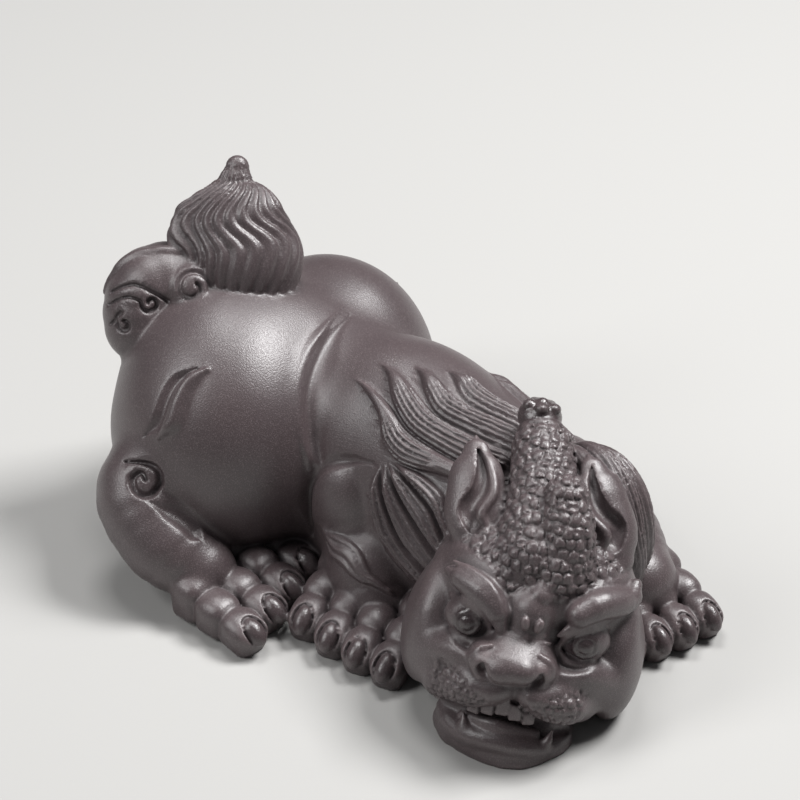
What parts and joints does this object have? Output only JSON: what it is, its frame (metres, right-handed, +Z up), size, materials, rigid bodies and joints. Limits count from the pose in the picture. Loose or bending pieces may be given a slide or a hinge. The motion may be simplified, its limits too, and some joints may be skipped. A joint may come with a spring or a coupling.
{
  "type": "pixiu figure",
  "caption": "Crouching pixiu with a scaly horned head turned to its side and laid on the ground, combed mane, curled tail and upright tuft, on a flat underside.",
  "frame": {"origin": "on the ground, under the middle of the figure's outline", "axes": "+Z up; -Y towards the forepaws, +Y towards the rump; -X is the figure's right side, where the head turns"},
  "size_m": [0.093, 0.13, 0.074],
  "materials": {
    "dark_clay": "unglazed, fired, rubbed to a low shine"
  },
  "bodies": {
    "root": {"pixiu_figure": "dark_clay"}
  },
  "joints": []
}
